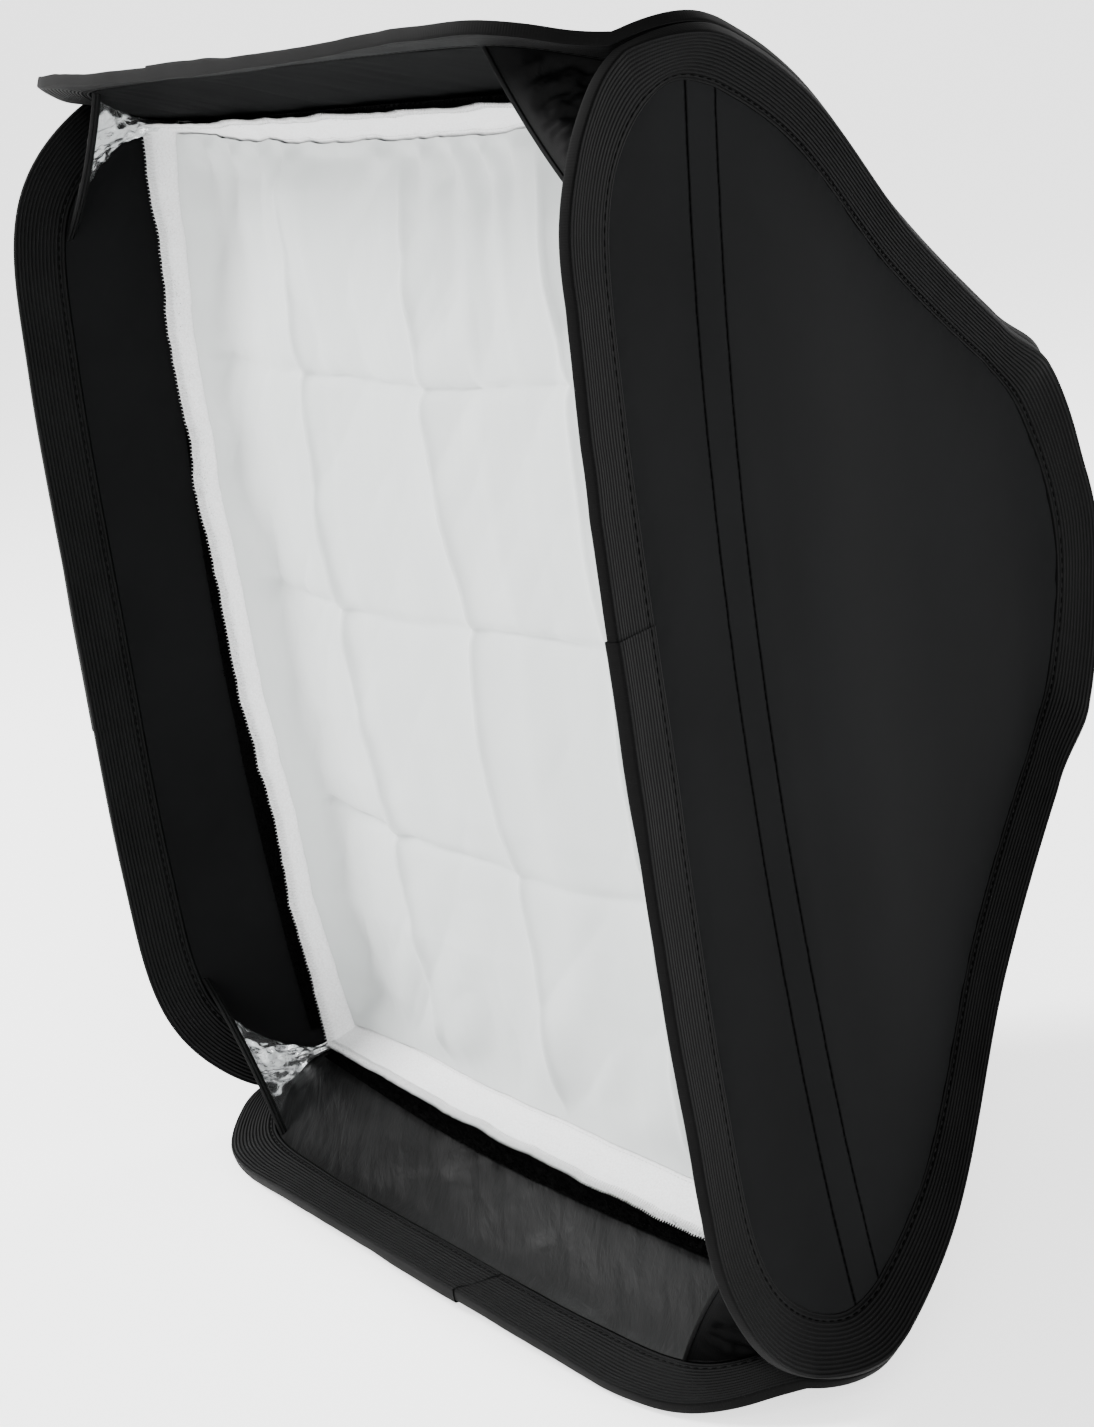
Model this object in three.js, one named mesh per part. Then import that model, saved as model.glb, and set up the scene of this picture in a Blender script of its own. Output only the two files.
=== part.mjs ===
// Collapsible square softbox: four sprung fabric panels sewn into a tapering tube, with a recessed diffuser.
//
// Axes: -Y is the way the light leaves, +Z is up, +X is right. The origin is the middle of the rear opening,
// in the plane of the rear edges of the four panels, where the box seats on its speed ring.
// All sizes are in millimetres.

import * as THREE from 'three';

// ---- Overall sizes, to the stitch lines ----

const frontOut = 300; // axis to a panel at the middle of its front edge
const frontDepth = 401; // rear plane to the middle of a front edge
const noseOut = 82; // axis to a panel at the middle of its rear edge
const noseDepth = 28; // rear plane to the middle of a rear edge

// ---- Front edge, measured back and in from the middle of the front edge ----

const midFrontFromCorner = 154; // the nearly straight part of the front edge ends this far from the corner
const midFrontSetback = 1;
const shoulderFromCorner = 70; // where the front edge turns into the corner lobe
const shoulderSetback = 10;
const shoulderInset = 3;
const lobeSetback = 47; // widest point of the corner lobe
const lobeInset = 18;
const lobeFromCorner = 13;
const seamFrontSetback = 82; // front end of a corner seam
const seamFrontInset = 28;

// ---- Rear edge, measured forward and out from the middle of the rear edge ----

const noseShoulderForward = 15;
const noseShoulderOutset = 4;
const noseShoulderFromCorner = 19;
const seamRearForward = 50; // rear end of a corner seam
const seamRearOutset = 24;

// ---- Corner seam: an S between its ends, at two shares of the way forward ----

const seamUpperShare = 0.7635;
const seamUpperBulge = 7.25;
const seamLowerShare = 0.39;
const seamLowerBulge = -0.75;

const panelSag = 10; // how far a panel's middle is drawn in between its seams
const sagFrontSetback = 101; // the sag is full from here
const sagRearShare = 0.672; // back to this share of the seam

const shoulderDepth = frontDepth - shoulderSetback;
const shoulderOut = frontOut - shoulderInset;
const lobeDepth = frontDepth - lobeSetback;
const lobeOut = frontOut - lobeInset;
const seamFrontDepth = frontDepth - seamFrontSetback;
const seamFrontOut = frontOut - seamFrontInset;
const noseShoulderDepth = noseDepth + noseShoulderForward;
const noseShoulderOut = noseOut + noseShoulderOutset;
const seamRearDepth = noseDepth + seamRearForward;
const seamRearOut = noseOut + seamRearOutset;
const alongSeam = (share) => seamRearDepth + share * (seamFrontDepth - seamRearDepth);
const acrossSeam = (share, bulge) => seamRearOut + share * (seamFrontOut - seamRearOut) + bulge;
const sagFrontDepth = frontDepth - sagFrontSetback;
const sagRearDepth = alongSeam(sagRearShare);

// ---- Binding tape and spring hoop ----

const bindingWidth = 28; // stitch line to the outer edge of the tape
const bindingWall = 0.6;
const bindingEdgeThickness = 6.2; // over the hoop
const bindingMouthThickness = 3.6; // at the stitch line
const hoopRadialThickness = 1.0; // spring-steel strip, across the binding's width
const hoopClearance = 1.0; // the strip lies loose in the folded tape
const finTwistFront = 62; // length over which the binding turns from the seam's fin to the panel's plane
const finTwistRear = 90;
const noseCurl = 0.6; // 0 leaves the rear edge in the panel's plane, 1 lays it along the axis
const finGap = 0.5; // between the two fins of one seam

// ---- Fabric layers ----

const skinThickness = 0.8;
const innerThickness = 0.6; // lining and lip
const layerGap = 0.8;
const loopTapeWidth = 25;
const loopTapeThickness = 1.2;
const loopTapeSetback = 65; // middle of a front edge to the tape's middle, along the axis
const loopTapeEndGap = 16; // tape end to the corner seam
const hookTapeWidth = 25;
const hookTapeThickness = 1.2;
const hookTapeSetback = 7; // hook tape's front edge behind the loop tape's front edge
const hookTapeEndGap = 30;
const clothThickness = 0.8;
const clothCornerGap = 14; // cloth corner to the corner seam
const skinInset = 1.6; // cut edge of the outer fabric to the stitch line
const liningInset = 3.2;
const openSeamInset = 12; // the seam between the top and left panels is left open in the solids
const facingGap = 0.5; // between the lip and the lining, under the loop tape

// ---- Corner gussets ----

const gussetReach = 104; // from the seam's front end along each lobe
const gussetThickness = 0.9;
const gussetInset = 2.6;
const gussetDip = 5; // how far the middle of the gusset hangs towards the axis
const gussetEdgeWidth = 4;
const gussetEdgeThickness = 1.8;

// ---- Resolution ----

const outlineSteps = 36; // per half outline
const acrossSteps = 6;

const finOffset = (bindingEdgeThickness + finGap) / 2; // middle of a fin to the seam's diagonal plane
const seamShift = finOffset * Math.SQRT2;

// A smooth curve y(x) through points sorted by x.
function smoothThrough(points) {
  const last = points.length - 1;
  const slopeAt = (i) => {
    const before = points[Math.max(i - 1, 0)];
    const after = points[Math.min(i + 1, last)];
    return (after[1] - before[1]) / (after[0] - before[0]);
  };
  return (x) => {
    let i = 0;
    while (i < last - 1 && x > points[i + 1][0]) i += 1;
    const [x0, y0] = points[i];
    const [x1, y1] = points[i + 1];
    const h = x1 - x0;
    const t = THREE.MathUtils.clamp((x - x0) / h, 0, 1);
    const t2 = t * t;
    const t3 = t2 * t;
    return (2 * t3 - 3 * t2 + 1) * y0 + (t3 - 2 * t2 + t) * h * slopeAt(i)
      + (3 * t2 - 2 * t3) * y1 + (t3 - t2) * h * slopeAt(i + 1);
  };
}

// Distance from the axis at the seams, at row coordinate y.
const seamOut = smoothThrough([
  [-frontDepth, frontOut],
  [-shoulderDepth, shoulderOut],
  [-lobeDepth, lobeOut],
  [-seamFrontDepth, seamFrontOut],
  [-alongSeam(seamUpperShare), acrossSeam(seamUpperShare, seamUpperBulge)],
  [-alongSeam(seamLowerShare), acrossSeam(seamLowerShare, seamLowerBulge)],
  [-seamRearDepth, seamRearOut],
  [-noseShoulderDepth, noseShoulderOut],
  [-noseDepth, noseOut],
]);

const sagAt = (y) => panelSag
  * THREE.MathUtils.smoothstep(y, -frontDepth, -sagFrontDepth)
  * (1 - THREE.MathUtils.smoothstep(y, -sagRearDepth, -seamRearDepth));

// ---- Outline of one panel: the stitch line, in (u, y), u along the front edge ----

const seamU = (y) => seamOut(y) - seamShift;
const isSeam = (y) => y > -seamFrontDepth && y < -seamRearDepth;

function halfOutline() {
  const onSeam = (depth) => new THREE.Vector2(seamU(-depth), -depth);
  const midFront = frontOut - midFrontFromCorner;
  const noseShoulder = noseOut - noseShoulderFromCorner;
  const curve = new THREE.SplineCurve([
    new THREE.Vector2(-midFront, -frontDepth + midFrontSetback),
    new THREE.Vector2(0, -frontDepth),
    new THREE.Vector2(midFront, -frontDepth + midFrontSetback),
    new THREE.Vector2(frontOut - shoulderFromCorner, -shoulderDepth),
    new THREE.Vector2(lobeOut - lobeFromCorner, -lobeDepth),
    onSeam(seamFrontDepth),
    onSeam(alongSeam(seamUpperShare)),
    onSeam(alongSeam(seamLowerShare)),
    onSeam(seamRearDepth),
    new THREE.Vector2(noseShoulder, -noseShoulderDepth),
    new THREE.Vector2(0, -noseDepth),
    new THREE.Vector2(-noseShoulder, -noseShoulderDepth),
  ]);
  const fine = curve.getPoints(1100).slice(100, 1001);
  const lengths = [0];
  fine.slice(1).forEach((p, i) => lengths.push(lengths[i] + p.distanceTo(fine[i])));
  const total = lengths[lengths.length - 1];
  const points = [];
  for (let k = 0, j = 0; k <= outlineSteps; k += 1) {
    const wanted = (total * k) / outlineSteps;
    while (j < lengths.length - 2 && lengths[j + 1] < wanted) j += 1;
    const t = (wanted - lengths[j]) / (lengths[j + 1] - lengths[j]);
    const p = fine[j].clone().lerp(fine[j + 1], t);
    if (isSeam(p.y)) p.x = seamU(p.y);
    points.push(p);
  }
  points[0].x = 0;
  points[outlineSteps].x = 0;
  return points;
}

const half = halfOutline();

// Half width of the panel at y, pulled in from the stitch line.
function halfWidthAt(y, inset) {
  for (let k = 1; k < half.length; k += 1) {
    if (half[k].y >= y) {
      const t = THREE.MathUtils.clamp((y - half[k - 1].y) / (half[k].y - half[k - 1].y), 0, 1);
      return Math.max(half[k - 1].x + (half[k].x - half[k - 1].x) * t - inset, 1);
    }
  }
  return 1;
}

// Panel surface. Local axes: x = u, y = depth, z = away from the axis.
function surfacePoint(u, y) {
  const across = THREE.MathUtils.clamp(u / halfWidthAt(y, 0), -1, 1);
  return new THREE.Vector3(u, y, seamOut(y) - sagAt(y) * (1 - across * across));
}

function surfaceNormal(u, y) {
  const step = 2;
  const du = surfacePoint(u + step, y).sub(surfacePoint(u - step, y));
  const dy = new THREE.Vector3(0, 2 * step, seamOut(y + step) - seamOut(y - step));
  const normal = du.cross(dy).normalize();
  return normal.z < 0 ? normal.negate() : normal;
}

// ---- Mesh helpers ----

function toGeometry(positions, indices) {
  const geometry = new THREE.BufferGeometry();
  geometry.setAttribute('position', new THREE.Float32BufferAttribute(positions.flatMap((p) => p.toArray()), 3));
  const volume = indices.reduce((sum, _, i) => {
    if (i % 3) return sum;
    const [a, b, c] = [positions[indices[i]], positions[indices[i + 1]], positions[indices[i + 2]]];
    return sum + a.dot(b.clone().cross(c));
  }, 0);
  const outward = [...indices];
  if (volume < 0) outward.reverse();
  geometry.setIndex(outward);
  geometry.computeVertexNormals();
  return geometry;
}

// Closed loop of equal polygon sections. A twisted quad bulges one way or the other with the diagonal that splits it,
// so the sides in otherDiagonal take the other one, and the two faces of a thin wall bulge together.
function sweepLoop(sections, otherDiagonal) {
  const size = sections[0].length;
  const indices = [];
  sections.forEach((_, k) => {
    const next = (k + 1) % sections.length;
    for (let j = 0; j < size; j += 1) {
      const a = k * size + j;
      const b = k * size + ((j + 1) % size);
      const c = next * size + ((j + 1) % size);
      const d = next * size + j;
      if (otherDiagonal.includes(j)) indices.push(a, b, d, b, c, d);
      else indices.push(a, b, c, a, c, d);
    }
  });
  return toGeometry(sections.flat(), indices);
}

// A sheet between two matching grids of points, closed along its four edges.
function sheetBetween(top, bottom) {
  const rows = top.length;
  const columns = top[0].length;
  const offset = rows * columns;
  const at = (i, j, layer) => layer * offset + i * columns + j;
  const indices = [];
  const quad = (a, b, c, d) => indices.push(a, b, c, a, c, d);
  for (let i = 0; i < rows - 1; i += 1) {
    for (let j = 0; j < columns - 1; j += 1) {
      quad(at(i, j, 0), at(i, j + 1, 0), at(i + 1, j + 1, 0), at(i + 1, j, 0));
      quad(at(i, j, 1), at(i + 1, j, 1), at(i + 1, j + 1, 1), at(i, j + 1, 1));
    }
    quad(at(i, 0, 0), at(i + 1, 0, 0), at(i + 1, 0, 1), at(i, 0, 1));
    quad(at(i, columns - 1, 1), at(i + 1, columns - 1, 1), at(i + 1, columns - 1, 0), at(i, columns - 1, 0));
  }
  for (let j = 0; j < columns - 1; j += 1) {
    quad(at(0, j, 1), at(0, j + 1, 1), at(0, j + 1, 0), at(0, j, 0));
    quad(at(rows - 1, j, 0), at(rows - 1, j + 1, 0), at(rows - 1, j + 1, 1), at(rows - 1, j, 1));
  }
  return toGeometry([...top.flat(), ...bottom.flat()], indices);
}

// A layer of a panel: rows at the given depths, between two distances from the panel surface.
// insets are [at negative u, at positive u].
function panelLayer(depthRows, insets, low, high, endGap = 0) {
  const grids = [high, low].map((distance) => depthRows.map((y) => {
    const left = -halfWidthAt(y, insets[0] + endGap);
    const right = halfWidthAt(y, insets[1] + endGap);
    const row = [];
    for (let j = 0; j <= acrossSteps; j += 1) {
      const u = left + ((right - left) * j) / acrossSteps;
      row.push(surfacePoint(u, y).addScaledVector(surfaceNormal(u, y), distance));
    }
    return row;
  }));
  return sheetBetween(grids[0], grids[1]);
}

const between = (from, to, steps) => Array.from({ length: steps + 1 }, (_, i) => from + ((to - from) * i) / steps);

// Turns a fin direction until its outer edge is on its own panel's side of the seam's diagonal plane.
function keepOffDiagonal(point, direction) {
  for (let pass = 0; pass < 8; pass += 1) {
    const tip = point.clone().addScaledVector(direction, bindingWidth);
    const excess = Math.max(tip.x - tip.z + seamShift, 0) / bindingWidth;
    direction.x -= excess / 2;
    direction.z += excess / 2;
    direction.normalize();
  }
}

// ---- Binding frame: for each outline sample, the stitch point, the fin direction and its normal ----

function bindingFrames() {
  const total = outlineSteps;
  const length = (i, j) => half[i].distanceTo(half[j]);
  const along = [0];
  for (let k = 1; k <= total; k += 1) along.push(along[k - 1] + length(k, k - 1));
  const seamSamples = half.map((p, k) => (isSeam(p.y) ? k : -1)).filter((k) => k >= 0);
  const seamStart = along[seamSamples[0]];
  const seamEnd = along[seamSamples[seamSamples.length - 1]];
  const points = half.map((p) => new THREE.Vector3(p.x, p.y, seamOut(p.y)));
  const frames = points.map((point, k) => {
    const mirror = (v) => new THREE.Vector3(-v.x, v.y, v.z);
    const before = k > 0 ? points[k - 1] : mirror(points[1]);
    const after = k < total ? points[k + 1] : mirror(points[total - 1]);
    const tangent = after.clone().sub(before).normalize();
    const normal = surfaceNormal(point.x, half[k].y);
    const inPlane = tangent.clone().cross(normal).normalize();
    const middle = new THREE.Vector3(0, (-frontDepth - noseDepth) / 2, point.z);
    if (inPlane.dot(point.clone().sub(middle)) < 0) inPlane.negate();
    const nose = THREE.MathUtils.smoothstep(along[k], seamEnd, seamEnd + finTwistRear);
    inPlane.lerp(new THREE.Vector3(0, 1, 0), noseCurl * nose).normalize();
    const ramp = (distance, span) => 1 - THREE.MathUtils.smoothstep(distance, 0, span);
    const fin = along[k] < seamStart
      ? ramp(seamStart - along[k], finTwistFront)
      : ramp(along[k] - seamEnd, finTwistRear);
    const direction = inPlane.lerp(new THREE.Vector3(Math.SQRT1_2, 0, Math.SQRT1_2), fin).normalize();
    keepOffDiagonal(point, direction);
    const faceNormal = fin > 0.999
      ? new THREE.Vector3(-Math.SQRT1_2, 0, Math.SQRT1_2)
      : tangent.clone().cross(direction).normalize();
    if (faceNormal.dot(normal) < 0) faceNormal.negate();
    return { point, direction, faceNormal };
  });
  const flip = (v) => new THREE.Vector3(-v.x, v.y, v.z);
  const mirrored = frames.slice(1, total).reverse().map((f) => ({
    point: flip(f.point),
    direction: flip(f.direction),
    faceNormal: flip(f.faceNormal),
  }));
  return [...frames, ...mirrored];
}

const frames = bindingFrames();
const finPoint = (frame, w, n) => frame.point.clone()
  .addScaledVector(frame.direction, w)
  .addScaledVector(frame.faceNormal, n);

function bindingGeometry() {
  const mouth = bindingMouthThickness / 2;
  const edge = bindingEdgeThickness / 2;
  const inside = bindingWidth - bindingWall;
  return sweepLoop(frames.map((frame) => [
    finPoint(frame, 0, mouth),
    finPoint(frame, bindingWidth, edge),
    finPoint(frame, bindingWidth, -edge),
    finPoint(frame, 0, -mouth),
    finPoint(frame, 0, -mouth + bindingWall),
    finPoint(frame, inside, -edge + bindingWall),
    finPoint(frame, inside, edge - bindingWall),
    finPoint(frame, 0, mouth - bindingWall),
  ]), [2, 5, 6]);
}

function hoopGeometry() {
  const outer = bindingWidth - bindingWall - hoopClearance;
  const inner = outer - hoopRadialThickness;
  const spread = (w) => {
    const taper = (bindingEdgeThickness - bindingMouthThickness) / 2 / bindingWidth;
    return bindingMouthThickness / 2 + taper * w - bindingWall - hoopClearance;
  };
  const reach = spread(inner);
  return sweepLoop(frames.map((frame) => [
    finPoint(frame, inner, reach),
    finPoint(frame, outer, reach),
    finPoint(frame, outer, -reach),
    finPoint(frame, inner, -reach),
  ]), [2, 3]);
}

// ---- Layer positions, measured outward from the panel surface ----

const skinInner = -skinThickness / 2;
const liningOuter = skinInner - layerGap;
const liningInner = liningOuter - innerThickness;
const loopOuter = liningInner - layerGap;
const loopInner = loopOuter - loopTapeThickness;
const hookOuter = loopInner - layerGap;
const hookInner = hookOuter - hookTapeThickness;

const loopTapeDepth = frontDepth - loopTapeSetback;
const tapeSlope = Math.atan2(seamOut(-loopTapeDepth - 10) - seamOut(-loopTapeDepth + 10), 20);
const tapeHalfDepth = (loopTapeWidth / 2) * Math.cos(tapeSlope);
const hookFront = -loopTapeDepth - tapeHalfDepth + hookTapeSetback;
const hookRear = hookFront + hookTapeWidth * Math.cos(tapeSlope);

// Skin, facings and loop tape all bend at the tape's own rows, so they stay a layer gap apart.
const tapeRows = [-loopTapeDepth - tapeHalfDepth, -loopTapeDepth, -loopTapeDepth + tapeHalfDepth];
const outlineRows = half.slice(1, outlineSteps).map((p) => p.y).filter((y, i, all) => i === 0 || y - all[i - 1] > 1);
const skinRows = [
  ...outlineRows.filter((y) => y < tapeRows[0] - 1), ...tapeRows, ...outlineRows.filter((y) => y > tapeRows[2] + 1),
];
skinRows[0] += skinInset;
skinRows[skinRows.length - 1] -= skinInset;
const facingRows = skinRows.slice(1, -1);
const lipEnd = -loopTapeDepth - facingGap / 2;
const liningStart = -loopTapeDepth + facingGap / 2;
const lipRows = [...facingRows.filter((y) => y <= tapeRows[0]), lipEnd];
const liningRows = [liningStart, ...facingRows.filter((y) => y >= tapeRows[2])];

// ---- Materials ----

const colours = {
  steel: { color: 0x8c9094, roughness: 0.35, metalness: 1 },
  binding: { color: 0x17171a, roughness: 0.85, metalness: 0 },
  skin: { color: 0x1c1c1f, roughness: 0.6, metalness: 0 },
  lining: { color: 0xc9ccd1, roughness: 0.3, metalness: 0.8 },
  lip: { color: 0x141416, roughness: 0.5, metalness: 0 },
  loop: { color: 0x0c0c0d, roughness: 1, metalness: 0 },
  hook: { color: 0xe6e7e8, roughness: 0.8, metalness: 0 },
  cloth: { color: 0xdfe3e3, roughness: 0.75, metalness: 0 },
};

const softbox = new THREE.Group();

function addMesh(parent, name, geometry, look) {
  const mesh = new THREE.Mesh(geometry, new THREE.MeshStandardMaterial(colours[look]));
  mesh.name = name;
  parent.add(mesh);
}

// ---- Four panels ----
// Local +Z is the way out from the axis; a turn about Y takes it to each side.

const sides = [
  { side: 'top', turn: 0, insets: [openSeamInset, 0] },
  { side: 'right', turn: Math.PI / 2, insets: [0, 0] },
  { side: 'bottom', turn: Math.PI, insets: [0, 0] },
  { side: 'left', turn: -Math.PI / 2, insets: [0, openSeamInset] },
];

sides.forEach(({ side, turn, insets }) => {
  const group = new THREE.Group();
  group.rotation.y = turn;
  softbox.add(group);
  const from = (inset) => insets.map((extra) => Math.max(extra, inset));
  addMesh(group, `hoop_${side}`, hoopGeometry(), 'steel');
  addMesh(group, `binding_${side}`, bindingGeometry(), 'binding');
  addMesh(group, `skin_${side}`, panelLayer(skinRows, from(skinInset), skinInner, -skinInner), 'skin');
  addMesh(group, `lip_${side}`, panelLayer(lipRows, from(liningInset), liningInner, liningOuter), 'lip');
  addMesh(group, `lining_${side}`, panelLayer(liningRows, from(liningInset), liningInner, liningOuter), 'lining');
  addMesh(group, `loop_tape_${side}`, panelLayer(
    tapeRows, [0, 0], loopInner, loopOuter, loopTapeEndGap,
  ), 'loop');
  addMesh(group, `hook_tape_${side}`, panelLayer(
    [hookFront, (hookFront + hookRear) / 2, hookRear],
    [0, 0], hookInner, hookOuter, hookTapeEndGap,
  ), 'hook');
});

// ---- Diffuser cloth: spans the box between the rear edges of the hook tapes ----

function clothGeometry() {
  const corner = halfWidthAt(hookRear, clothCornerGap);
  const edge = (u) => surfacePoint(u, hookRear).z + hookInner - layerGap;
  const shape = new THREE.Shape();
  const steps = acrossSteps * 2;
  const reach = Math.min(corner, edge(corner));
  [0, 1, 2, 3].forEach((quarter) => {
    for (let i = 0; i < steps; i += 1) {
      const u = -reach + (2 * reach * i) / steps;
      const r = Math.min(edge(u), reach);
      const p = new THREE.Vector2(u, r).rotateAround(new THREE.Vector2(), (-quarter * Math.PI) / 2);
      if (quarter === 0 && i === 0) shape.moveTo(p.x, p.y);
      else shape.lineTo(p.x, p.y);
    }
  });
  shape.closePath();
  const geometry = new THREE.ExtrudeGeometry(shape, { depth: clothThickness, bevelEnabled: false });
  geometry.rotateX(Math.PI / 2);
  geometry.translate(0, hookRear + layerGap + clothThickness, 0);
  return geometry;
}

addMesh(softbox, 'diffuser_cloth', clothGeometry(), 'cloth');

// ---- Front corner gussets: between the lobes of neighbouring panels ----

// Points along one lobe from the seam's front end forward, just inside the stitch line.
function lobeLine(inset) {
  const start = half.findIndex((p) => p.y > -seamFrontDepth) - 1;
  const line = [];
  let travelled = 0;
  for (let k = start; k > 0 && travelled < gussetReach; k -= 1) {
    const frame = frames[k];
    line.push(frame.point.clone()
      .addScaledVector(frame.direction, -inset)
      .addScaledVector(surfaceNormal(half[k].x, half[k].y), -gussetInset));
    travelled += half[k].distanceTo(half[k - 1]);
  }
  return line;
}

function gussetGeometry() {
  const steps = 4;
  const line = lobeLine(gussetInset).map((p) => (p.z - p.x < 2 ? new THREE.Vector3(p.z - 2, p.y, p.z) : p));
  const grid = (lift) => line.map((p) => {
    const other = new THREE.Vector3(p.z, p.y, p.x);
    const width = p.distanceTo(other);
    return between(0, 1, steps).map((t) => {
      const point = p.clone().lerp(other, t);
      const dip = gussetDip * Math.min(width / 40, 1) * 4 * t * (1 - t);
      return point.add(new THREE.Vector3(-1, 0, -1).multiplyScalar(Math.SQRT1_2 * (dip - lift)));
    });
  });
  return sheetBetween(grid(gussetThickness / 2), grid(-gussetThickness / 2));
}

function gussetEdgeGeometry() {
  const line = lobeLine(gussetInset);
  const p = line[line.length - 1];
  const other = new THREE.Vector3(p.z, p.y, p.x);
  const steps = 4;
  const grid = (lift) => [-gussetEdgeWidth, 0].map((forward) => between(0, 1, steps).map((t) => {
    const point = p.clone().lerp(other, t);
    const dip = gussetDip * 4 * t * (1 - t);
    point.add(new THREE.Vector3(-1, 0, -1).multiplyScalar(Math.SQRT1_2 * (dip - lift)));
    point.y += forward - layerGap;
    return point;
  }));
  return sheetBetween(grid(gussetEdgeThickness / 2), grid(-gussetEdgeThickness / 2));
}

const corners = [
  { corner: 'top_right', turn: 0 },
  { corner: 'bottom_right', turn: Math.PI / 2 },
  { corner: 'bottom_left', turn: Math.PI },
  { corner: 'top_left', turn: -Math.PI / 2 },
];

corners.forEach(({ corner, turn }) => {
  const group = new THREE.Group();
  group.rotation.y = turn;
  softbox.add(group);
  addMesh(group, `gusset_${corner}`, gussetGeometry(), 'lining');
  addMesh(group, `gusset_edge_${corner}`, gussetEdgeGeometry(), 'binding');
});

export default softbox;
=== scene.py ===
"""Looks of the collapsible softbox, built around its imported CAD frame."""

import math

import bpy
import numpy as np
from mathutils import Matrix, Vector


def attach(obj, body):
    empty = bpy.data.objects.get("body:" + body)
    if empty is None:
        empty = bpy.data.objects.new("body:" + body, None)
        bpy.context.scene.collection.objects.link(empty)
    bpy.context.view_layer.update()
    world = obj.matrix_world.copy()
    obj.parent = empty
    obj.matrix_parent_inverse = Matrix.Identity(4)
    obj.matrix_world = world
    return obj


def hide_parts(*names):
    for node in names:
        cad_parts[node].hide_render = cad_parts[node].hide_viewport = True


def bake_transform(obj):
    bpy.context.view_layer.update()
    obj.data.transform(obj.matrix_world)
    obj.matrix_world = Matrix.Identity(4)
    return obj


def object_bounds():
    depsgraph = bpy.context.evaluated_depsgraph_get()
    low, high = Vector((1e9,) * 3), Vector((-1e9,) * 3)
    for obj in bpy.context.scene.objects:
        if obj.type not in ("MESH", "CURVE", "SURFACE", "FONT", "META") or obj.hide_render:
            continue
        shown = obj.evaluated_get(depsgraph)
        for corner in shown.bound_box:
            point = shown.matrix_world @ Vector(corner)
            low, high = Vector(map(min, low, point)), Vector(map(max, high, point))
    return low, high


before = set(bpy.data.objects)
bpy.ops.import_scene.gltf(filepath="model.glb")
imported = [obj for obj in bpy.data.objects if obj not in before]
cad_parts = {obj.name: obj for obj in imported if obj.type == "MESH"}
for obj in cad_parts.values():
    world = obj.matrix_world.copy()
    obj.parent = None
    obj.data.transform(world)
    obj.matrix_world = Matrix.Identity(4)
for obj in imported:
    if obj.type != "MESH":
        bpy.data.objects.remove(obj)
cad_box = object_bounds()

MM = 0.001

# ---- shape, in millimetres, as in the CAD source
FRONT_DEPTH = 401.0
SEAM_FRONT_DEPTH = 319.0
SEAM_REAR_DEPTH = 78.0
NOSE_DEPTH = 28.0
# depth and distance from the axis along a corner seam and its extension to both ends
SEAM_POINTS = [
    (-401, 300), (-391, 297), (-354, 282), (-319, 272), (-262, 240),
    (-172, 170), (-78, 106), (-43, 86), (-28, 82),
]
# other points that a panel's outline passes through, as distance across and depth
MID_FRONT = 146.0
SHOULDER = (230.0, -391.0)
LOBE = (269.0, -354.0)
NOSE_SHOULDER = (63.0, -43.0)
PANEL_SAG = 10.0
SAG_FRONT, SAG_REAR = -300.0, -240.0  # the sag is full between these depths

BINDING_WIDTH = 28.0
EDGE_THICKNESS = 6.2
FIN_GAP = 0.5  # between the two bindings of a seam
FIN_TWIST_FRONT, FIN_TWIST_REAR = 62.0, 90.0  # edge length over which a binding turns out of the seam's plane
NOSE_CURL = 0.6
SEAM_SHIFT = (EDGE_THICKNESS + FIN_GAP) / 2 * math.sqrt(2)

LOOP_DEPTH, LOOP_WIDTH = 336.0, 25.0
TAPE_BOW, TAPE_BOW_REACH = 14.0, 262.0  # the tape's ends lie this much further back than its middle
TAPE_FRONT_SHIFT = 6.0
TAPE_ROW = 9.2  # loop tape's middle to each of its stitch rows
HOOK_WIDTH, HOOK_SETBACK = 25.0, 7.0
GUSSET_REACH = 104.0
STEPS = 300  # samples along half an outline

SIDES = {"top": 0.0, "right": math.pi / 2, "bottom": math.pi, "left": -math.pi / 2}
OPEN_SEAM = {("top", -1), ("left", 1)}


def smooth_through(points):
    """A smooth curve y(x) through points sorted by x."""
    xs = np.array([p[0] for p in points], float)
    ys = np.array([p[1] for p in points], float)
    before = np.maximum(np.arange(len(xs)) - 1, 0)
    after = np.minimum(np.arange(len(xs)) + 1, len(xs) - 1)
    slope = (ys[after] - ys[before]) / (xs[after] - xs[before])

    def curve(x):
        x = np.asarray(x, float)
        i = np.clip(np.searchsorted(xs, x, side="left") - 1, 0, len(xs) - 2)
        h = xs[i + 1] - xs[i]
        t = np.clip((x - xs[i]) / h, 0, 1)
        t2, t3 = t * t, t * t * t
        return (
            (2 * t3 - 3 * t2 + 1) * ys[i] + (t3 - 2 * t2 + t) * h * slope[i]
            + (3 * t2 - 2 * t3) * ys[i + 1] + (t3 - t2) * h * slope[i + 1]
        )

    return curve


def smoothstep(x, low, high):
    t = np.clip((np.asarray(x, float) - low) / (high - low), 0, 1)
    return t * t * (3 - 2 * t)


seam_out = smooth_through(SEAM_POINTS)
SLOPE_STEP = 10
TAPE_SLOPE = math.atan2(
    float(seam_out(-LOOP_DEPTH - SLOPE_STEP) - seam_out(-LOOP_DEPTH + SLOPE_STEP)), 2 * SLOPE_STEP
)


def unit(v):
    return v / np.maximum(np.linalg.norm(v, axis=-1, keepdims=True), 1e-12)


def arc_length(points):
    return np.concatenate([[0], np.cumsum(np.linalg.norm(np.diff(points, axis=0), axis=1))])


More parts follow.
